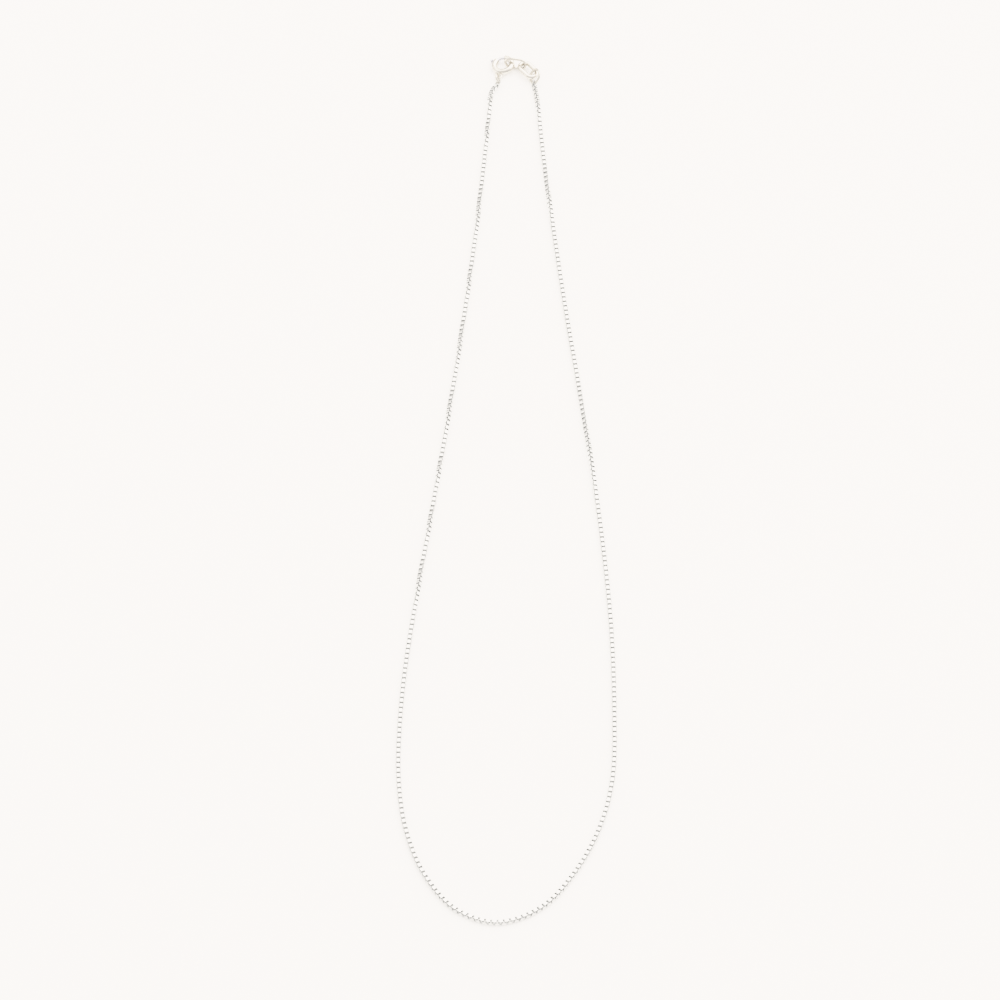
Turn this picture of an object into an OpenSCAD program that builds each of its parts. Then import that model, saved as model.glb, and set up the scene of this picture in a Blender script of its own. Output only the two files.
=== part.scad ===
// Box chain necklace, fastened, lying in a long drop shape on a flat surface.
// Millimetres, +Z up. The surface is z = 0, +Y runs from the bottom of the drop to the clasp.

/* [Chain] */
// Width of the chain across its flats
chain_w = 1.0; // [0.9:0.05:1.1]
// Clear length between a jump ring's wire and the chain's end face
chain_end_gap = 0.15; // [0.1:0.05:0.25]

/* [Clasp case] */
// Outer diameter of the ring-shaped case
case_od = 5.0; // [4.8:0.1:5.4]
// Outer diameter of the case's tube
case_tube = 1.25; // [1.15:0.05:1.35]
// Wall of the case's tube
case_wall = 0.18; // [0.14:0.02:0.22]
// Angle of the open gate
gate_angle = 54; // [48:2:60]
// Angle from +X to the middle of the gate
gate_at = 105; // [100:1:110]

/* [Eyelet] */
// Hole through the eyelet
eyelet_hole = 0.8; // [0.7:0.05:0.9]
// Wire of the eyelet
eyelet_wire = 0.4; // [0.36:0.02:0.5]
// Angle from +X to the eyelet
eyelet_at = 252; // [244:1:266]
// Depth that the solder sinks the eyelet into the tube
solder = 0.1; // [0.06:0.02:0.14]

/* [Clasp bolt] */
// Clearance all round the bolt in its tube
bolt_gap = 0.06; // [0.04:0.01:0.08]
// Angle that the bolt's tip reaches past the gate when shut
bolt_overlap = 10; // [8:1:14]
// Angle that the bolt travels when the trigger is pulled
bolt_travel = 56; // [44:2:60]
// Angle of bolt that stays behind the trigger
bolt_tail = 12; // [8:1:16]
// Diameter of the trigger's stem
stem_d = 0.4; // [0.34:0.02:0.46]
// Clearance between the stem and its slot
stem_gap = 0.06; // [0.04:0.01:0.1]
// Diameter of the trigger's knob
knob_d = 0.84; // [0.7:0.02:0.96]
// Height of the knob
knob_h = 0.5; // [0.4:0.05:0.6]
// Clearance between the knob and the outside of the tube
knob_gap = 0.1; // [0.06:0.02:0.14]

/* [Left jump ring] */
// Hole of the jump ring at the chain's left end
left_ring_hole = 1.8; // [1.7:0.05:2.0]
// Wire of the left jump ring
left_ring_wire = 0.42; // [0.36:0.02:0.46]

/* [Catch ring] */
// Wire of the oval ring that the clasp is closed on
catch_wire = 0.55; // [0.5:0.05:0.65]
// Free room across the catch ring, past the clasp's tube
catch_slack = 0.5; // [0.45:0.05:0.8]
// Free room along the catch ring, past the clasp's tube and the end link
catch_reach = 1.45; // [1.35:0.05:2.2]

/* [End link] */
// Length of the thick oval end link
end_link_l = 5.4; // [5.0:0.1:6.0]
// Width of the end link
end_link_w = 3.3; // [3.2:0.1:3.8]
// Thickness of the end link's stock
end_link_wire = 1.0; // [0.95:0.05:1.15]

/* [Right jump ring] */
// Hole of the jump ring at the chain's right end
right_ring_hole = 2.45; // [2.3:0.05:2.6]
// Wire of the right jump ring
right_ring_wire = 0.5; // [0.42:0.02:0.52]

/* [Hidden] */
$fn = 96;

// Clearance under a piece where another ring's wire passes below it
lie_gap = 0.08;
// Overshoot of a cutting body past the face that it cuts
cut = 0.5;
silver = [0.86, 0.86, 0.84];

// Route of the chain, left strand down, round the drop and up the right strand
route = [
    [-3.2, 98], [-3.8, 90], [-5.4, 70], [-7.3, 50], [-9.5, 30], [-11.9, 10],
    [-14.5, -10], [-17.2, -30], [-19.6, -50], [-20.6, -65], [-20.6, -77],
    [-19.2, -88], [-15.8, -98], [-10, -106], [-2, -109.2], [6.2, -106],
    [12.5, -98.3], [17.4, -88], [20.1, -76], [20.6, -60], [20.2, -40],
    [18.8, -20], [16.8, 0], [14.4, 20], [11.9, 40], [9.7, 60], [7.7, 80], [6.5, 95]
];
// Sides of the chain's section, and rings along it
chain_sides = 8;
chain_rings = 80;

// Where the clasp's ring lies, and how it is turned there
case_xy = [-0.7, 106.0];

// The left jump ring: the way it is pulled, its lean, its slack and where the chain hangs on it
left_pull = -88;
left_lean = -70;
left_slack = 0.31;
left_hook = 20;

// The catch ring: where it holds the clasp, the way it lies, its lean, and its seats
catch_at = 3.5;
catch_turn = -12;
catch_lean = 80;
catch_seat = 0.21;

// The end link: the way it lies, and where the catch ring and the right ring hold it
end_turn = -52;
end_seat = 0.06;
end_catch_at = 152.5;
end_right_at = -57;

// The right jump ring: the way it is pulled, its lean, its slack and where the chain hangs on it
right_pull = -73;
right_lean = 54.5;
right_slack = 0.5;
right_hook = -40;

// Plan vector of a length at an angle
function polar(r, a) = [r * cos(a), r * sin(a), 0];

// A plan point at a height
function raised(p, z) = [p.x, p.y, z];

// A point of a ring of radius r that leans about its pull, is turned in plan and stands at a place
function on_ring(r, t, lean, turn, at) =
    let (y = r * sin(t) * cos(lean))
    at + polar(r * cos(t), turn) + polar(y, turn + 90) + [0, 0, r * sin(t) * sin(lean)];

// Height of a leaning ring's centre when its wire touches the surface
function lean_height(r, wire, lean) = wire / 2 + r * sin(abs(lean));

// The clasp's ring: centreline radius, tilt over the catch ring's wire, and place
case_r = (case_od - case_tube) / 2;
case_tilt = asin((catch_wire + lie_gap) / (2 * case_r));
case_at = raised(case_xy, case_tube / 2 + case_r * sin(case_tilt));
function on_case(p) =
    case_at + [p.x * cos(case_tilt) - p.z * sin(case_tilt), p.y, p.x * sin(case_tilt) + p.z * cos(case_tilt)];

// The gate and the bore
gate_from = gate_at - gate_angle / 2;
gate_to = gate_at + gate_angle / 2;
bore_d = case_tube - 2 * case_wall;
bolt_d = bore_d - 2 * bolt_gap;

// The trigger: half the angle that its stem and gap take, and where it stands when shut
stem_half = asin((stem_d / 2 + stem_gap) / case_r);
trigger_at = gate_to + 2 * stem_half;

// The eyelet on the outside of the tube
eyelet_r = (eyelet_hole + eyelet_wire) / 2;
eyelet_from = case_od / 2 - solder + eyelet_wire / 2 + eyelet_r;
eyelet_front = on_case(polar(eyelet_from + eyelet_r, eyelet_at));

// The left jump ring hangs on the eyelet's front
left_r = (left_ring_hole + left_ring_wire) / 2;
left_plan = eyelet_front + polar(left_ring_hole / 2 - eyelet_wire / 2 - left_slack, left_pull);
left_at = raised(left_plan, lean_height(left_r, left_ring_wire, left_lean));
left_end = on_ring(left_r, left_hook, left_lean, left_pull, left_at);

// The catch ring goes round the tube, and round the end link
catch_l = case_tube + end_link_wire + catch_reach + 2 * catch_wire;
catch_w = case_tube + catch_slack + 2 * catch_wire;
catch_r = (catch_w - catch_wire) / 2;
catch_half = (catch_l - catch_w) / 2;
catch_plan = on_case(polar(case_r, catch_at)) + polar(catch_half - catch_seat, catch_turn);
catch_place = raised(catch_plan, lean_height(catch_r, catch_wire, catch_lean));

// The end link lies flat on the two rings' wires
end_r = (end_link_w - end_link_wire) / 2;
end_half = (end_link_l - end_link_w) / 2;
end_top = catch_plan + polar(catch_half + end_seat, catch_turn) - polar(end_r, end_catch_at);
end_plan = end_top + polar(end_half, end_turn);
end_place = raised(end_plan, catch_wire + lie_gap + end_link_wire / 2);

// The right jump ring hangs on the end link's lower end
right_r = (right_ring_hole + right_ring_wire) / 2;
right_seat = end_plan + polar(end_half, end_turn) + polar(end_r, end_right_at);
right_plan = right_seat + polar(right_ring_hole / 2 - end_link_wire / 2 - right_slack, right_pull);
right_place = raised(right_plan, lean_height(right_r, right_ring_wire, right_lean));
right_end = on_ring(right_r, right_hook, right_lean, right_pull, right_place);

// The chain's line: the route on the surface, with an end short of each jump ring's wire
function toward(a, b, d) = a + (b - a) * d / norm(b - a);
lying = [for (p = route) [p.x, p.y, chain_w / 2]];
first = toward(left_end, lying[0], left_ring_wire / 2 + chain_end_gap);
last = toward(right_end, lying[len(lying) - 1], right_ring_wire / 2 + chain_end_gap);
line = concat([first], lying, [last]);
spans = len(line) - 1;

// A point of the smooth curve through the line, u spans from its start
function curve(u) =
    let (
        i = min(floor(u), spans - 1),
        t = u - i,
        b = line[i],
        c = line[i + 1],
        a = i > 0 ? line[i - 1] : 2 * b - c,
        d = i + 2 <= spans ? line[i + 2] : 2 * c - b
    )
    (2 * b + (c - a) * t + (2 * a - 5 * b + 4 * c - d) * t * t + (3 * b - a - 3 * c + d) * t * t * t) / 2;

// The direction of the curve, from two points close to u
function heading(u) =
    let (
        near = 0.01,
        v = curve(min(u + near, spans)) - curve(max(u - near, 0))
    )
    v / norm(v);

// The corners of the chain's section at u, flat side down
function section(u) =
    let (
        ahead = heading(u),
        side = cross([0, 0, 1], ahead) / norm(cross([0, 0, 1], ahead)),
        up = cross(ahead, side),
        half = 180 / chain_sides,
        r = chain_w / 2 / cos(half)
    )
    [for (k = [0 : chain_sides - 1])
        curve(u) + r * (cos(2 * half * k + half) * side + sin(2 * half * k + half) * up)];

// The chain as a swept tube along its route
module chain() {
    rings = [for (i = [0 : chain_rings - 1]) each section(i * spans / (chain_rings - 1))];
    n = chain_sides;
    walls = [for (i = [0 : chain_rings - 2], k = [0 : n - 1])
        [i * n + k, (i + 1) * n + k, (i + 1) * n + (k + 1) % n, i * n + (k + 1) % n]];
    start_face = [for (k = [0 : n - 1]) k];
    end_face = [for (k = [n - 1 : -1 : 0]) (chain_rings - 1) * n + k];
    color(silver) polyhedron(points = rings, faces = concat([start_face], walls, [end_face]));
}

// Round stock bent to an arc of radius r, from one angle to another
module bent(r, d, from, to) {
    rotate([0, 0, from]) rotate_extrude(angle = to - from) translate([r, 0]) circle(d = d);
}

// A round or oval ring of round wire, long along X, centred
module link_ring(r, half, wire) {
    for (side = [0, 180]) rotate([0, 0, side]) {
        translate([half, 0, 0]) bent(r, wire, -90, 90);
        if (half > 0) translate([-half, r, 0]) rotate([0, 90, 0]) cylinder(h = 2 * half, d = wire);
    }
}

// Puts a flat ring at a place, leaning about the way it is pulled
module leaning(at, turn, lean) {
    translate(at) rotate([0, 0, turn]) rotate([lean, 0, 0]) children();
}

// Puts what is drawn round the clasp's own axis in its place
module clasp_frame() {
    translate(case_at) rotate([0, -case_tilt, 0]) children();
}

// The clasp's bored tube, with its gate, the trigger's slot and the eyelet soldered on
module clasp_case() {
    slot_w = stem_d + 2 * stem_gap;
    color(silver) clasp_frame() difference() {
        union() {
            bent(case_r, case_tube, gate_to, gate_from + 360);
            translate(polar(eyelet_from, eyelet_at)) bent(eyelet_r, eyelet_wire, 0, 360);
        }
        bent(case_r, bore_d, 0, 360);
        rotate([0, 0, trigger_at - stem_half]) rotate_extrude(angle = bolt_travel + 2 * stem_half)
            translate([case_r, -slot_w / 2]) square([case_tube / 2 + cut, slot_w]);
    }
}

// The curved bolt with its trigger
module clasp_bolt() {
    stem_l = case_tube / 2 + knob_gap + knob_h / 2;
    color(silver) clasp_frame() {
        bent(case_r, bolt_d, gate_from - bolt_overlap, trigger_at + bolt_tail);
        rotate([0, 0, trigger_at]) translate([case_r, 0, 0]) rotate([0, 90, 0]) {
            cylinder(h = stem_l, d = stem_d);
            translate([0, 0, case_tube / 2 + knob_gap]) cylinder(h = knob_h, d = knob_d);
        }
    }
}

// The jump ring on the eyelet
module left_ring() {
    color(silver) leaning(left_at, left_pull, left_lean) bent(left_r, left_ring_wire, 0, 360);
}

// The oval jump ring that the clasp is closed on
module catch_ring() {
    color(silver) leaning(catch_place, catch_turn, catch_lean) link_ring(catch_r, catch_half, catch_wire);
}

// The thick oval end link
module end_link() {
    color(silver) leaning(end_place, end_turn, 0) link_ring(end_r, end_half, end_link_wire);
}

// The jump ring on the end link
module right_ring() {
    color(silver) leaning(right_place, right_pull, right_lean) bent(right_r, right_ring_wire, 0, 360);
}

chain();
clasp_case();
clasp_bolt();
left_ring();
catch_ring();
end_link();
right_ring();
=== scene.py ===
"""Box chain necklace, fastened, lying in a long drop on a pale surface.

The links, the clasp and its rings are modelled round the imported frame, in metres, +Z up.
"""

import math

import bmesh
import bpy
from mathutils import Matrix, Vector


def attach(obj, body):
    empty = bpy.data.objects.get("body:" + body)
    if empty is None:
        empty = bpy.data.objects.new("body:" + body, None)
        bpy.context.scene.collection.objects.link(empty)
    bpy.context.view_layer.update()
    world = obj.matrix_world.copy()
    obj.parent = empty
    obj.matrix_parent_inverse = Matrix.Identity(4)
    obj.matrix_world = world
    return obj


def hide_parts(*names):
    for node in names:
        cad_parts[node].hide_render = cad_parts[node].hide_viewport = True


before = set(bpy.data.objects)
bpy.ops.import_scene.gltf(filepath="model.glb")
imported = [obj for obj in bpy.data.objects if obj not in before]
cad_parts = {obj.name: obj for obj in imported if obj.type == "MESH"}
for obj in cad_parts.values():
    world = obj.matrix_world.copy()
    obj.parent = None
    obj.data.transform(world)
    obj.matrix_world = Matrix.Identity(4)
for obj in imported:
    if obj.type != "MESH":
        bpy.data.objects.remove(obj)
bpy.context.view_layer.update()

MM = 0.001

# ---- Sizes, as in the part ----
CHAIN_W = 1.0 * MM
CASE_OD, CASE_TUBE, CASE_WALL = 5.0 * MM, 1.25 * MM, 0.18 * MM
GATE_ANGLE, GATE_AT = 54, 105
EYELET_HOLE, EYELET_WIRE, EYELET_AT, SOLDER = 0.8 * MM, 0.4 * MM, 252, 0.1 * MM
BOLT_GAP, BOLT_OVERLAP, BOLT_TRAVEL, BOLT_TAIL = 0.06 * MM, 10, 56, 12
STEM_D, STEM_GAP = 0.4 * MM, 0.06 * MM
KNOB_D, KNOB_H, KNOB_GAP = 0.84 * MM, 0.5 * MM, 0.1 * MM
LEFT_HOLE, LEFT_WIRE = 1.8 * MM, 0.42 * MM
CATCH_WIRE, CATCH_SLACK, CATCH_REACH = 0.55 * MM, 0.5 * MM, 1.45 * MM
END_L, END_W, END_WIRE = 5.4 * MM, 3.3 * MM, 1.0 * MM
RIGHT_HOLE, RIGHT_WIRE = 2.45 * MM, 0.5 * MM
LIE_GAP = 0.08 * MM
LEFT_PULL, LEFT_LEAN, LEFT_SLACK, LEFT_HOOK = -88, -70, 0.31 * MM, 20
CATCH_AT, CATCH_TURN, CATCH_LEAN, CATCH_SEAT = 3.5, -12, 80, 0.21 * MM
END_TURN, END_SEAT, END_CATCH_AT, END_RIGHT_AT = -52, 0.06 * MM, 152.5, -57
RIGHT_PULL, RIGHT_LEAN, RIGHT_SLACK, RIGHT_HOOK = -73, 54.5, 0.5 * MM, -40
CASE_X, CASE_Y = -0.7 * MM, 106.0 * MM

# The route of the chain on the surface, as in the part
ROUTE = [
    (-0.0032, 0.098), (-0.0038, 0.090), (-0.0054, 0.070), (-0.0073, 0.050), (-0.0095, 0.030),
    (-0.0119, 0.010), (-0.0145, -0.010), (-0.0172, -0.030), (-0.0196, -0.050), (-0.0206, -0.065),
    (-0.0206, -0.077), (-0.0192, -0.088), (-0.0158, -0.098), (-0.0100, -0.106), (-0.0020, -0.1092),
    (0.0062, -0.106), (0.0125, -0.0983), (0.0174, -0.088), (0.0201, -0.076), (0.0206, -0.060),
    (0.0202, -0.040), (0.0188, -0.020), (0.0168, 0.0), (0.0144, 0.020), (0.0119, 0.040),
    (0.0097, 0.060), (0.0077, 0.080), (0.0065, 0.095),
]

# ---- Sizes of the links, which only the scene has ----
LINK_L = 0.91 * MM
LINK_WALL = 0.145 * MM
STRIP_W = 0.62 * MM
LINK_CORNER = 0.13 * MM
LINK_EDGE = 0.035 * MM
PITCH = 0.589 * MM
END_LINK_L = 1.22 * MM
WIRE_PLAY = 0.07 * MM
# How much less than its furthest the first link's neighbour is pulled away
PULL_SLACK = 0.01 * MM
# Middles and lengths of the chain's quarter turns in millimetres, from its left end
QUARTER_TURNS = [
    (5.0, 10), (14.8, 9.5), (36.6, 18), (55.3, 11), (72.1, 17), (89.8, 15), (104.3, 10),
    (117.9, 11), (132.7, 15), (344.8, 32), (409.6, 18),
]
# The length over which the chain turns to suit a jump ring, and what of it at the right is done
SETTLE_LENGTH = 5.0 * MM
RIGHT_HOLD = 6.5 * MM
# Steps of the chain's line from one point of its route to the next
SPAN_STEPS = 60

# ---- Soft edges and small marks of the clasp and rings, which only the scene has ----
CASE_LIP = 0.035 * MM
BOLT_ROUNDING = 0.24 * MM
KNOB_RIM, KNOB_DISH, KNOB_EDGE = 0.17 * MM, 0.07 * MM, 0.06 * MM
# The joint of a jump ring: its width and place in degrees, and the rounding of its ends
JOINT_WIDTH, JOINT_AT, JOINT_EDGE = 1.2, 100, 0.025 * MM

# ---- How finely round shapes are divided ----
TUBE_SIDES, WIRE_SIDES, THICK_SIDES = 32, 24, 36
EYELET_STEPS, RING_STEPS, BOLT_STEPS, CATCH_STEPS, END_STEPS = 72, 96, 40, 40, 48
# Degrees of a step of the case, and of the bolt's first and last
CASE_STEP, BOLT_END_STEP = 2, 10
# Faces of the case's tube that the slot takes up, on each side of its middle
SLOT_FACES = 3
# Points closer than this are one
DOUBLES = 0.001 * MM
# Edges under the first angle are shaded smooth, and edges above the second are rounded
SMOOTH_UNDER, SHARP_ABOVE = math.radians(35), math.radians(50)
# A face looks a way when its normal goes further than this along it
FACING = 0.5


def polar(r, a):
    """Plan vector of a length at an angle in degrees."""
    return Vector((r * math.cos(math.radians(a)), r * math.sin(math.radians(a)), 0))


def raised(p, z):
    """A plan point at a height."""
    return Vector((p.x, p.y, z))


def sind(a):
    """Sine of an angle in degrees."""
    return math.sin(math.radians(a))


def leaning(at, turn, lean):
    """The place of a flat ring that leans about the way it is pulled."""
    return (
        Matrix.Translation(at)
        @ Matrix.Rotation(math.radians(turn), 4, "Z")
        @ Matrix.Rotation(math.radians(lean), 4, "X")
    )


# ---- Places of the pieces, by the part's own formulas ----
case_r = (CASE_OD - CASE_TUBE) / 2
case_tilt = math.degrees(math.asin((CATCH_WIRE + LIE_GAP) / (2 * case_r)))
case_at = Vector((CASE_X, CASE_Y, CASE_TUBE / 2 + case_r * sind(case_tilt)))
case_place = Matrix.Translation(case_at) @ Matrix.Rotation(math.radians(-case_tilt), 4, "Y")
gate_from, gate_to = GATE_AT - GATE_ANGLE / 2, GATE_AT + GATE_ANGLE / 2
bolt_d = CASE_TUBE - 2 * CASE_WALL - 2 * BOLT_GAP
stem_half = math.degrees(math.asin((STEM_D / 2 + STEM_GAP) / case_r))
trigger_at = gate_to + 2 * stem_half
eyelet_r = (EYELET_HOLE + EYELET_WIRE) / 2
eyelet_from = CASE_OD / 2 - SOLDER + EYELET_WIRE / 2 + eyelet_r

left_r = (LEFT_HOLE + LEFT_WIRE) / 2
eyelet_front = case_place @ polar(eyelet_from + eyelet_r, EYELET_AT)
left_at = raised(
    eyelet_front + polar(LEFT_HOLE / 2 - EYELET_WIRE / 2 - LEFT_SLACK, LEFT_PULL),
    LEFT_WIRE / 2 + left_r * sind(abs(LEFT_LEAN)),
)
left_place = leaning(left_at, LEFT_PULL, LEFT_LEAN)

catch_l = CASE_TUBE + END_WIRE + CATCH_REACH + 2 * CATCH_WIRE
catch_w = CASE_TUBE + CATCH_SLACK + 2 * CATCH_WIRE
catch_r, catch_half = (catch_w - CATCH_WIRE) / 2, (catch_l - catch_w) / 2
catch_plan = case_place @ polar(case_r, CATCH_AT) + polar(catch_half - CATCH_SEAT, CATCH_TURN)
catch_place = leaning(
    raised(catch_plan, CATCH_WIRE / 2 + catch_r * sind(CATCH_LEAN)), CATCH_TURN, CATCH_LEAN
)

end_r, end_half = (END_W - END_WIRE) / 2, (END_L - END_W) / 2
end_plan = catch_plan + polar(catch_half + END_SEAT, CATCH_TURN) - polar(end_r, END_CATCH_AT)
end_plan += polar(end_half, END_TURN)
end_place = leaning(raised(end_plan, CATCH_WIRE + LIE_GAP + END_WIRE / 2), END_TURN, 0)

right_r = (RIGHT_HOLE + RIGHT_WIRE) / 2
right_plan = end_plan + polar(end_half, END_TURN) + polar(end_r, END_RIGHT_AT)
right_plan += polar(RIGHT_HOLE / 2 - END_WIRE / 2 - RIGHT_SLACK, RIGHT_PULL)
right_place = leaning(
    raised(right_plan, RIGHT_WIRE / 2 + right_r * sind(RIGHT_LEAN)), RIGHT_PULL, RIGHT_LEAN
)


# ---- Modelling by hand ----
def start_piece(name):
    """Names the primitive that was just added and applies its place."""
    piece = bpy.context.object
    piece.name = piece.data.name = name
    bpy.ops.object.transform_apply(location=True, rotation=True, scale=True)
    return piece


def nothing_selected():
    """Leaves no object selected."""
    bpy.ops.object.select_all(action="DESELECT")


def select_only(piece):
    """Selects one object and makes it the active one."""
    nothing_selected()
    piece.select_set(True)
    bpy.context.view_layer.objects.active = piece


def pick(piece, kind, test):
    """Selects, in edit mode, just the faces or edges that pass a test."""
    bpy.ops.mesh.select_all(action="DESELECT")
    bpy.ops.mesh.select_mode(type="FACE" if kind == "faces" else "EDGE")
    mesh = bmesh.from_edit_mesh(piece.data)
    mesh.normal_update()
    for item in getattr(mesh, kind):
        item.select_set(bool(test(item)))
    mesh.select_flush_mode()
    bmesh.update_edit_mesh(piece.data)


def section_ring(name, at, turn, d, sides):
    """The round section of some stock, standing across its line."""
    nothing_selected()
    bpy.ops.mesh.primitive_circle_add(
        vertices=sides, radius=d / 2, location=at, rotation=(math.pi / 2, 0, math.radians(turn))
    )
    piece = start_piece(name)
    bpy.ops.object.mode_set(mode="EDIT")
    bpy.ops.mesh.select_all(action="SELECT")
    return piece


def bend(angle, steps, centre=(0, 0, 0)):
    """Spins the selected section round an upright axis; the operator counts clockwise."""
    bpy.ops.mesh.spin(
        steps=steps, angle=-math.radians(angle), center=centre, axis=(0, 0, 1),
        use_auto_merge=False,
    )


def face_outwards():
    """Turns the faces of a closed body outwards."""
    bpy.ops.mesh.select_all(action="SELECT")
    bpy.ops.mesh.normals_make_consistent(inside=False)
    # The operator can take the inside of a bent body for its outside
    mesh = bmesh.from_edit_mesh(bpy.context.edit_object.data)
    if mesh.calc_volume(signed=True) < 0:
        bpy.ops.mesh.flip_normals()


def close_up():
    """Merges the doubles of a closed ring and turns its faces outwards."""
    bpy.ops.mesh.select_all(action="SELECT")
    bpy.ops.mesh.remove_doubles(threshold=DOUBLES)
    face_outwards()


def cap_ends(round_by, segments):
    """Closes the cut ends of some stock and rounds their edges."""
    bpy.ops.mesh.select_all(action="DESELECT")
    bpy.ops.mesh.select_mode(type="EDGE")
    bpy.ops.mesh.select_non_manifold()
    bpy.ops.mesh.fill_holes(sides=0)
    bpy.ops.mesh.bevel(offset=round_by, segments=segments, affect="EDGES")
    face_outwards()


def finish_mesh(piece):
    """Leaves edit mode and shades the piece smooth, with its sharp edges kept."""
    if piece.mode == "EDIT":
        bpy.ops.object.mode_set(mode="OBJECT")
    select_only(piece)
    bpy.ops.object.shade_smooth_by_angle(angle=SMOOTH_UNDER)


def put(piece, place):
    """Puts a piece in its place, and the place in its mesh."""
    select_only(piece)
    piece.matrix_world = place
    bpy.ops.object.transform_apply(location=True, rotation=True, scale=True)


def modify(piece, kind, **settings):
    """Adds a modifier and applies it."""
    modifier = piece.modifiers.new(kind.lower(), kind)
    for key, value in settings.items():
        setattr(modifier, key, value)
    select_only(piece)
    bpy.ops.object.modifier_apply(modifier=modifier.name)


def round_edges(piece, width):
    """Rounds the sharp edges of a piece."""
    modify(piece, "BEVEL", width=width, segments=3, limit_method="ANGLE", angle_limit=SHARP_ABOVE)


def solder_on(piece, *others):
    """Fuses other pieces to one."""
    for other in others:
        modify(piece, "BOOLEAN", operation="UNION", solver="EXACT", object=other)
        bpy.data.objects.remove(other, do_unlink=True)


def jump_ring(name, r, wire, place):
    """A ring of round wire, bent shut, with the hairline of its joint."""
    piece = section_ring(name, polar(r, JOINT_AT), JOINT_AT, wire, WIRE_SIDES)
    bend(360 - JOINT_WIDTH, RING_STEPS)
    cap_ends(JOINT_EDGE, 2)
    finish_mesh(piece)
    put(piece, place)
    return piece


def oval_ring(name, r, half, wire, sides, steps, place):
    """A soldered oval ring of round stock, long along X."""
    piece = section_ring(name, (half, -r, 0), -90, wire, sides)
    for side in (1, -1):
        bend(180, steps, centre=(side * half, 0, 0))
        straight = (-side * 2 * half, 0, 0)
        bpy.ops.mesh.extrude_region_move(TRANSFORM_OT_translate={"value": straight})
    close_up()
    finish_mesh(piece)
    put(piece, place)
    return piece


def clasp_case():
    """The bent tube with its gate, the trigger's slot, rounded lips and the eyelet soldered on."""
    piece = section_ring(
        "spring_ring_case", polar(case_r, gate_to), gate_to, CASE_TUBE, TUBE_SIDES
    )
    bend(360 - GATE_ANGLE, (360 - GATE_ANGLE) // CASE_STEP)
    bpy.ops.mesh.select_all(action="SELECT")
    bpy.ops.mesh.normals_make_consistent(inside=False)
    slot_from, slot_to = trigger_at - stem_half, trigger_at + BOLT_TRAVEL + stem_half
    slot_side = SLOT_FACES * 360 / TUBE_SIDES

    def in_slot(face):
        p = face.calc_center_median()
        along = math.degrees(math.atan2(p.y, p.x)) % 360
        round_tube = math.degrees(math.atan2(p.z, math.hypot(p.x, p.y) - case_r))
        return slot_from < along < slot_to and abs(round_tube) < slot_side

    pick(piece, "faces", in_slot)
    bpy.ops.mesh.delete(type="FACE")
    bpy.ops.object.mode_set(mode="OBJECT")
    modify(piece, "SOLIDIFY", thickness=CASE_WALL, offset=-1, use_even_offset=True)
    round_edges(piece, CASE_LIP)
    eyelet = section_ring("eyelet", polar(eyelet_r, 0), 0, EYELET_WIRE, WIRE_SIDES)
    bend(360, EYELET_STEPS)
    close_up()
    bpy.ops.object.mode_set(mode="OBJECT")
    put(eyelet, Matrix.Translation(polar(eyelet_from, EYELET_AT)))
    solder_on(piece, eyelet)
    finish_mesh(piece)
    put(piece, case_place)
    return piece


def trigger_rod(name, d, length, from_centre, sides):
    """A round rod that points outwards at the trigger, its middle at a distance."""
    nothing_selected()
    bpy.ops.mesh.primitive_cylinder_add(
        vertices=sides, radius=d / 2, depth=length, location=polar(from_centre, trigger_at),
        rotation=(0, math.pi / 2, math.radians(trigger_at)),
    )
    return start_piece(name)


def clasp_bolt():
    """The curved bolt with a rounded tip, and its trigger with a dished head."""
    start = gate_from - BOLT_OVERLAP
    whole = trigger_at + BOLT_TAIL - start
    piece = section_ring("spring_ring_bolt", polar(case_r, start), start, bolt_d, WIRE_SIDES)
    # One long step at each end leaves room for its rounding
    bend(BOLT_END_STEP, 1)
    bend(whole - 2 * BOLT_END_STEP, BOLT_STEPS)
    bend(BOLT_END_STEP, 1)
    cap_ends(BOLT_ROUNDING, 5)
    bpy.ops.object.mode_set(mode="OBJECT")
    knob_from = CASE_TUBE / 2 + KNOB_GAP
    stem_l = knob_from + KNOB_H / 2
    stem = trigger_rod("stem", STEM_D, stem_l, case_r + stem_l / 2, WIRE_SIDES)
    knob = trigger_rod("knob", KNOB_D, KNOB_H, case_r + knob_from + KNOB_H / 2, THICK_SIDES)
    outward = polar(1, trigger_at)
    bpy.ops.object.mode_set(mode="EDIT")
    pick(knob, "faces", lambda face: face.normal.dot(outward) > FACING)
    bpy.ops.mesh.inset(thickness=KNOB_RIM)
    bpy.ops.transform.translate(value=-outward * KNOB_DISH)
    bpy.ops.object.mode_set(mode="OBJECT")
    round_edges(knob, KNOB_EDGE)
    solder_on(piece, stem, knob)
    finish_mesh(piece)
    put(piece, case_place)
    return piece


# ---- The chain ----
def curve_point(line, u):
    """A point of the smooth curve through a line, u spans from its start."""
    last = len(line) - 1
    i = min(int(u), last - 1)
    t = u - i
    b, c = line[i], line[i + 1]
    a = line[i - 1] if i else 2 * b - c
    d = line[i + 2] if i + 2 <= last else 2 * c - b
    return (
        2 * b + (c - a) * t + (2 * a - 5 * b + 4 * c - d) * t * t + (3 * b - a - 3 * c + d) * t**3
    ) / 2


def ramp(x):
    """Rises evenly from 0 to 1, so that the links of a turn share it evenly."""
    return min(max(x, 0), 1)


def hook(place, r, at):
    """Where the chain hangs on a jump ring, and the way of the wire there."""
    turned = place.to_3x3()
    return place @ polar(r, at), (turned @ polar(1, at + 90)).normalized()


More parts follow.
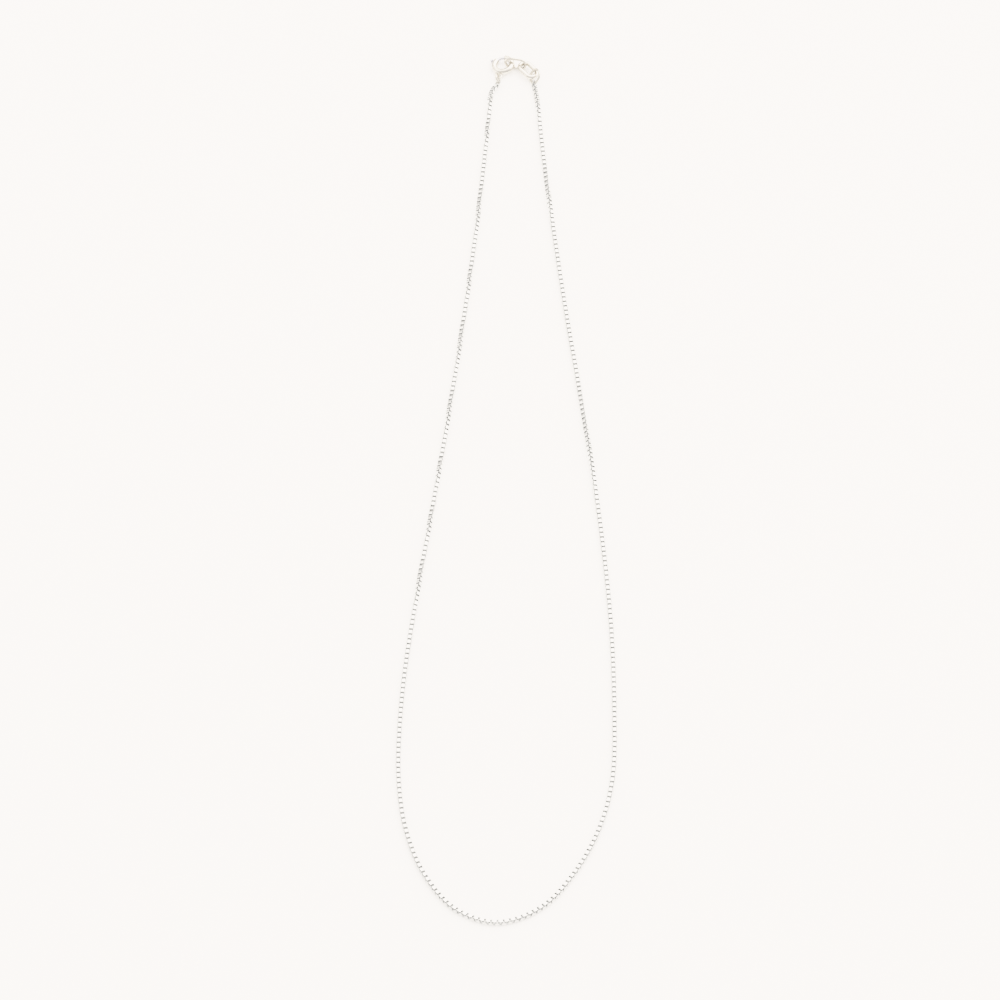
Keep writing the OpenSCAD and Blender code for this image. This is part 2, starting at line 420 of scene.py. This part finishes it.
class ChainLine:
    """The line of the chain from hook to hook, measured along its length."""

    def __init__(self):
        self.left, self.left_wire = hook(left_place, left_r, LEFT_HOOK)
        self.right, self.right_wire = hook(right_place, right_r, RIGHT_HOOK)
        line = [Vector((x, y, CHAIN_W / 2)) for x, y in ROUTE]
        line = [self.left, *line, self.right]
        self.points = [
            curve_point(line, k / SPAN_STEPS) for k in range((len(line) - 1) * SPAN_STEPS + 1)
        ]
        self.along = [0.0]
        for p, q in zip(self.points, self.points[1:]):
            self.along.append(self.along[-1] + (q - p).length)
        self.length = self.along[-1]

    def at(self, s):
        """The point and heading at a length from the left hook."""
        low, high = 0, len(self.along) - 2
        while low < high:
            mid = (low + high + 1) // 2
            low, high = (mid, high) if self.along[mid] <= s else (low, mid - 1)
        p, q = self.points[low], self.points[low + 1]
        return p.lerp(q, (s - self.along[low]) / (q - p).length), (q - p).normalized()

    def wire_angle(self, s, wire):
        """The angle round the chain at which a jump ring's wire passes, in degrees."""
        ahead = self.at(s)[1]
        side = Vector((0, 0, 1)).cross(ahead).normalized()
        return math.degrees(math.atan2(wire.dot(ahead.cross(side)), wire.dot(side)))


def nearest_turn(angle, step):
    """An angle brought within half a step of zero."""
    return (angle + step / 2) % step - step / 2


def box_link(name, length):
    """One link: a flat strip bent to a square ring, with soft corners and edges."""
    nothing_selected()
    bpy.ops.mesh.primitive_cube_add(size=1, scale=(length, STRIP_W, CHAIN_W))
    piece = start_piece(name)
    bpy.ops.object.mode_set(mode="EDIT")

    def goes_across(edge):
        return abs((edge.verts[0].co - edge.verts[1].co).y) > STRIP_W / 2

    def is_cut(face):
        return abs(face.normal.y) > FACING

    def looks_out(face, at):
        """Whether a face looks away from the link's middle, as seen from a point on it."""
        return face.normal.dot(Vector((at.x, 0, at.z))) > 0

    def outer_rim(edge):
        bands = [face for face in edge.link_faces if not is_cut(face)]
        middle = (edge.verts[0].co + edge.verts[1].co) / 2
        return bands and not goes_across(edge) and looks_out(bands[0], middle)

    pick(piece, "edges", goes_across)
    bpy.ops.mesh.bevel(offset=LINK_CORNER, segments=2, affect="EDGES")
    pick(piece, "faces", is_cut)
    bpy.ops.mesh.inset(thickness=LINK_WALL)
    bpy.ops.mesh.bridge_edge_loops()
    face_outwards()
    pick(piece, "edges", outer_rim)
    bpy.ops.mesh.bevel(offset=LINK_EDGE, segments=1, affect="EDGES")
    bpy.ops.object.mode_set(mode="OBJECT")
    # Painted light: the hollow of each link is given a lighter tone than its silver.
    recess_painted_light = piece.data.attributes.new("recess_painted_light", "FLOAT", "FACE")
    # Painted shade: the cut edges of each link's strip are given a darker tone.
    cut_edge_painted_shade = piece.data.attributes.new("cut_edge_painted_shade", "FLOAT", "FACE")
    for face in piece.data.polygons:
        inside = not is_cut(face) and not looks_out(face, face.center)
        recess_painted_light.data[face.index].value = float(inside)
        cut_edge_painted_shade.data[face.index].value = float(is_cut(face))
    finish_mesh(piece)
    return piece


def chain_links():
    """Every link of the chain, each through the next, joined to one piece."""
    line = ChainLine()
    # The end links go round the jump rings' wires, and their neighbours are pulled away from them
    left_end = END_LINK_L / 2 - LINK_WALL - WIRE_PLAY - LEFT_WIRE / 2
    right_end = line.length - (END_LINK_L / 2 - LINK_WALL - WIRE_PLAY - RIGHT_WIRE / 2)
    onward = END_LINK_L / 2 - LINK_WALL + LINK_L / 2 - LINK_WALL - PULL_SLACK
    run = right_end - left_end - 2 * onward
    left_axis = line.wire_angle(left_end, line.left_wire)
    right_axis = line.wire_angle(right_end, line.right_wire)

    def turning(s):
        """How far the chain has turned over by a length, in degrees."""
        return sum(90 * ramp((s / MM - at) / length + 0.5) for at, length in QUARTER_TURNS)

    gaps = round(run / PITCH)
    base = left_axis - nearest_turn(left_axis, 90)
    end_error = right_axis - (base + turning(line.length) + 90 * (gaps + 2))
    # One link more where the last would stand across its jump ring's wire
    if abs(nearest_turn(end_error, 180)) > 45:
        gaps += 1
        end_error -= 90
    left_fix, right_fix = left_axis - base, nearest_turn(end_error, 180)

    def roll(s):
        """How the chain lies turned at a length, in degrees, settled on the jump rings."""
        fix = left_fix * (1 - ramp(s / SETTLE_LENGTH))
        fix += right_fix * (1 - ramp((line.length - s - RIGHT_HOLD) / SETTLE_LENGTH))
        return base + turning(s) + fix

    def centre(s):
        """Where a link lies, lifted as much as its roll asks."""
        at, turn = line.at(s)[0], math.radians(roll(s))
        return raised(at, max(at.z, CHAIN_W / 2 * (abs(math.cos(turn)) + abs(math.sin(turn)))))

    places = [left_end]
    places += [left_end + onward + run * k / gaps for k in range(gaps + 1)]
    places += [right_end]
    centres, last = [centre(s) for s in places], len(places) - 1
    plain, long = box_link("box_link", LINK_L), box_link("end_box_link", END_LINK_L)
    links = []
    for k, s in enumerate(places):
        # Each link heads along the line of its neighbours
        ahead = (centres[min(k + 1, last)] - centres[max(k - 1, 0)]).normalized()
        if k in (0, last):
            source = long
            axis = (line.left_wire if k == 0 else line.right_wire).normalized()
            ahead = (ahead - axis * ahead.dot(axis)).normalized()
        else:
            source = plain
            side = Vector((0, 0, 1)).cross(ahead).normalized()
            angle = math.radians(roll(s) + 90 * k)
            axis = side * math.cos(angle) + ahead.cross(side) * math.sin(angle)
        turned = Matrix((ahead, axis, ahead.cross(axis))).transposed().to_4x4()
        link = bpy.data.objects.new("link", source.data.copy())
        link.data.transform(Matrix.Translation(centres[k]) @ turned)
        bpy.context.collection.objects.link(link)
        links.append(link)
    nothing_selected()
    for link in links:
        link.select_set(True)
    bpy.context.view_layer.objects.active = links[0]
    bpy.ops.object.join()
    for source in (plain, long):
        bpy.data.objects.remove(source, do_unlink=True)
    chain = bpy.context.object
    chain.name = chain.data.name = "chain_links"
    return chain


# ---- Materials ----
# Scratches are drawn out along Y
DRAWN_OUT = (1.0, 0.12, 1.0)
# What clouds of tone, scratches and parts with painted light or shade add to the roughness of
# silver
CLOUD_ROUGH, SCRATCH_ROUGH, PART_ROUGH = 0.10, 0.08, 0.3
# What scratches and grain add to its relief, and how deep that is
SCRATCH_RELIEF, GRAIN_RELIEF, RELIEF_DEPTH = 0.6, 0.4, 0.004 * MM


class Value:
    """A socket whose operators add Math nodes."""

    def __init__(self, finish, socket):
        self.finish, self.socket = finish, socket

    def _math(self, operation, a, b):
        return self.finish.node("ShaderNodeMath", {"operation": operation}, {0: a, 1: b})

    def __add__(self, other):
        return self._math("ADD", self, other)

    def __sub__(self, other):
        return self._math("SUBTRACT", self, other)

    def __rsub__(self, other):
        return self._math("SUBTRACT", other, self)

    def __mul__(self, other):
        return self._math("MULTIPLY", self, other)

    __radd__, __rmul__ = __add__, __mul__


class Finish:
    """One material, made of nodes."""

    def __init__(self, name):
        self.material = bpy.data.materials.new(name)
        self.material.use_nodes = True
        self.tree = self.material.node_tree
        self.tree.nodes.clear()

    def node(self, kind, settings, sockets, out=0):
        """Adds a node, sets it, feeds its sockets, and gives one of its outputs."""
        made = self.tree.nodes.new(kind)
        for key, value in settings.items():
            setattr(made, key, value)
        for key, value in sockets.items():
            if isinstance(value, Value):
                self.tree.links.new(value.socket, made.inputs[key])
            else:
                made.inputs[key].default_value = value
        return Value(self, made.outputs[out]) if made.outputs else None

    def noise(self, where, scale, detail, roughness):
        """An uneven pattern, its scale counted in a metre."""
        return self.node(
            "ShaderNodeTexNoise", {},
            {"Vector": where, "Scale": scale, "Detail": detail, "Roughness": roughness},
        )

    def mix(self, factor, a, b):
        """A blend of two colours."""
        return self.node(
            "ShaderNodeMix", {"data_type": "RGBA"}, {"Factor": factor, 6: a, 7: b}, out=2
        )


def silver(name, bright, shade, rough, scratch, painted_parts=()):
    """Polished silver: uneven tone, fine scratches, and rougher parts with painted light or
    painted shade in their tones.
    """
    finish = Finish(name)
    where = finish.node("ShaderNodeTexCoord", {}, {}, out="Object")
    drawn = finish.node("ShaderNodeMapping", {}, {"Vector": where, "Scale": DRAWN_OUT})
    cloud = finish.noise(where, scale=900, detail=4, roughness=0.5)
    grain = finish.noise(where, scale=9000, detail=3, roughness=0.6)
    scratches = finish.noise(drawn, scale=24000, detail=2, roughness=0.7)
    colour = finish.mix(cloud, bright, shade)
    roughness = rough + CLOUD_ROUGH * cloud + SCRATCH_ROUGH * (scratches - 0.5)
    # Each listed part is painted light or painted shade: a tone of its own over the silver.
    for part, tone in painted_parts:
        painted_mask = finish.node(
            "ShaderNodeAttribute", {"attribute_name": part, "attribute_type": "GEOMETRY"}, {},
            out="Fac",
        )
        colour = finish.mix(painted_mask, colour, tone)
        roughness = roughness + PART_ROUGH * painted_mask
    height = SCRATCH_RELIEF * scratches + GRAIN_RELIEF * grain
    bump = finish.node(
        "ShaderNodeBump", {}, {"Height": height, "Strength": scratch, "Distance": RELIEF_DEPTH}
    )
    surface = finish.node(
        "ShaderNodeBsdfPrincipled", {},
        {"Base Color": colour, "Metallic": 1.0, "Roughness": roughness, "Normal": bump},
    )
    finish.node("ShaderNodeOutputMaterial", {}, {"Surface": surface})
    return finish.material


# The colour of the table, and the soft light that comes up through it
TABLE, GLOW_COLOUR, GLOW = (0.85, 0.847, 0.843, 1), (1.0, 0.996, 0.99, 1), 0.25


def pale_surface():
    """The matt table that the necklace lies on."""
    finish = Finish("pale_surface")
    surface = finish.node(
        "ShaderNodeBsdfPrincipled", {},
        {
            "Base Color": TABLE, "Roughness": 0.9, "Specular IOR Level": 0.0,
            "Emission Color": GLOW_COLOUR, "Emission Strength": GLOW,
        },
    )
    finish.node("ShaderNodeOutputMaterial", {}, {"Surface": surface})
    return finish.material


# ---- Pieces on their bodies ----
def fit(piece, material, node, body):
    """Gives a piece its finish and its body, and hides the node that it stands for."""
    piece.data.materials.clear()
    piece.data.materials.append(material)
    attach(piece, body)
    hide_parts(node)


# Bright and shaded tones of the links, the clasp with its rings, and the drawn bolt
LINK_BRIGHT, LINK_SHADE = (0.906, 0.908, 0.899, 1), (0.847, 0.848, 0.838, 1)
BRIGHT, SHADE = (0.90, 0.875, 0.825, 1), (0.76, 0.73, 0.68, 1)
DRAWN_BRIGHT, DRAWN_SHADE = (0.92, 0.92, 0.95, 1), (0.84, 0.84, 0.88, 1)
# Tones that paint light and shade on a link: painted light, lighter, in the hollow of its box, and
# painted shade, darker, on the cut edges of its strip
RECESS_PAINTED_LIGHT, CUT_EDGE_PAINTED_SHADE = (0.965, 0.97, 0.966, 1), (0.768, 0.77, 0.764, 1)
LINK_PAINTED_LIGHT_AND_SHADE = (("recess_painted_light", RECESS_PAINTED_LIGHT), ("cut_edge_painted_shade", CUT_EDGE_PAINTED_SHADE))

# The links' silver, with painted light in their hollows and painted shade on their cut edges.
chain_silver = silver(
    "chain_silver", LINK_BRIGHT, LINK_SHADE, rough=0.12, scratch=0.25, painted_parts=LINK_PAINTED_LIGHT_AND_SHADE
)
clasp_silver = silver("clasp_silver", BRIGHT, SHADE, rough=0.14, scratch=0.3)
bolt_silver = silver("bolt_silver", DRAWN_BRIGHT, DRAWN_SHADE, rough=0.16, scratch=0.4)
ring_silver = silver("ring_silver", BRIGHT, SHADE, rough=0.13, scratch=0.3)
link_silver = silver("link_silver", BRIGHT, SHADE, rough=0.17, scratch=0.4)

fit(chain_links(), chain_silver, "chain", "necklace")
fit(clasp_case(), clasp_silver, "clasp_case", "necklace")
fit(clasp_bolt(), bolt_silver, "clasp_bolt", "bolt")
left = jump_ring("left_jump_ring", left_r, LEFT_WIRE, left_place)
fit(left, ring_silver, "left_ring", "necklace")
catch = oval_ring(
    "oval_catch_ring", catch_r, catch_half, CATCH_WIRE, WIRE_SIDES, CATCH_STEPS, catch_place
)
fit(catch, ring_silver, "catch_ring", "necklace")
end = oval_ring("oval_end_link", end_r, end_half, END_WIRE, THICK_SIDES, END_STEPS, end_place)
fit(end, link_silver, "end_link", "necklace")
right = jump_ring("right_jump_ring", right_r, RIGHT_WIRE, right_place)
fit(right, ring_silver, "right_ring", "necklace")

# ---- Studio ----
FLOOR_SIZE = 6.0
# Colour and brightness of the warm white room round the necklace
ROOM_COLOUR, ROOM = (1.0, 0.985, 0.96, 1), 0.48
# Soft panels: name, place in metres, size in metres, watts
PANELS = [
    ("key", (0.45, 0.75, 0.8), 1.5, 2.6),
    ("top", (0.0, 0.5, 1.5), 2.6, 6.4),
    ("left", (-1.3, 0.2, 0.7), 1.6, 2.0),
    ("right", (1.3, 0.2, 0.7), 1.6, 2.4),
]
# Where the camera stands in metres, and how many degrees it is turned up from looking down
CAMERA_AT, CAMERA_UP = (-0.00135, -0.73739, 0.9328), 38
# Its sensor and lens in millimetres, and the range that it sees in metres
SENSOR_WIDTH, LENS, SEES_FROM, SEES_TO = 36, 216, 0.01, 20
# Paper white of the picture in red, green and blue, and how light turns to tone below it
PAPER = (0.965, 0.947, 0.930)
TONE = [
    (0.12, 0.25), (0.25, 0.48), (0.4, 0.69), (0.55, 0.85), (0.7, 0.955), (0.85, 0.99), (1.0, 1.0),
    (1.2, 1.0),
]
# The light at which the tone curve ends
WHITE_LIGHT = 2.0

nothing_selected()
bpy.ops.mesh.primitive_plane_add(size=FLOOR_SIZE)
floor = start_piece("surface")
floor.data.materials.append(pale_surface())

world = bpy.data.worlds.new("studio")
bpy.context.scene.world = world
world.use_nodes = True
background = world.node_tree.nodes["Background"]
background.inputs["Color"].default_value = ROOM_COLOUR
background.inputs["Strength"].default_value = ROOM


def soft_light(name, at, size, watts):
    """A large soft panel that faces the necklace."""
    nothing_selected()
    bpy.ops.object.light_add(type="AREA", location=at)
    light = bpy.context.object
    light.name = name
    light.data.size, light.data.energy = size, watts
    light.rotation_euler = (-Vector(at)).to_track_quat("-Z", "Y").to_euler()


for panel in PANELS:
    soft_light(*panel)

nothing_selected()
bpy.ops.object.camera_add(location=CAMERA_AT, rotation=(math.radians(CAMERA_UP), 0, 0))
camera = bpy.context.object
camera.data.sensor_width, camera.data.lens = SENSOR_WIDTH, LENS
camera.data.clip_start, camera.data.clip_end = SEES_FROM, SEES_TO
bpy.context.scene.camera = camera


def set_tone():
    """Gives the picture its soft, bright tone: the paper stays just under white."""
    look = bpy.context.scene.view_settings
    look.view_transform = "Standard"
    look.use_curve_mapping = True
    tone = look.curve_mapping
    tone.white_level = (WHITE_LIGHT,) * 3
    for channel, paper in zip(tone.curves, PAPER):
        for light, part in TONE:
            channel.points.new(light / WHITE_LIGHT, part * paper)
    tone.update()


set_tone()
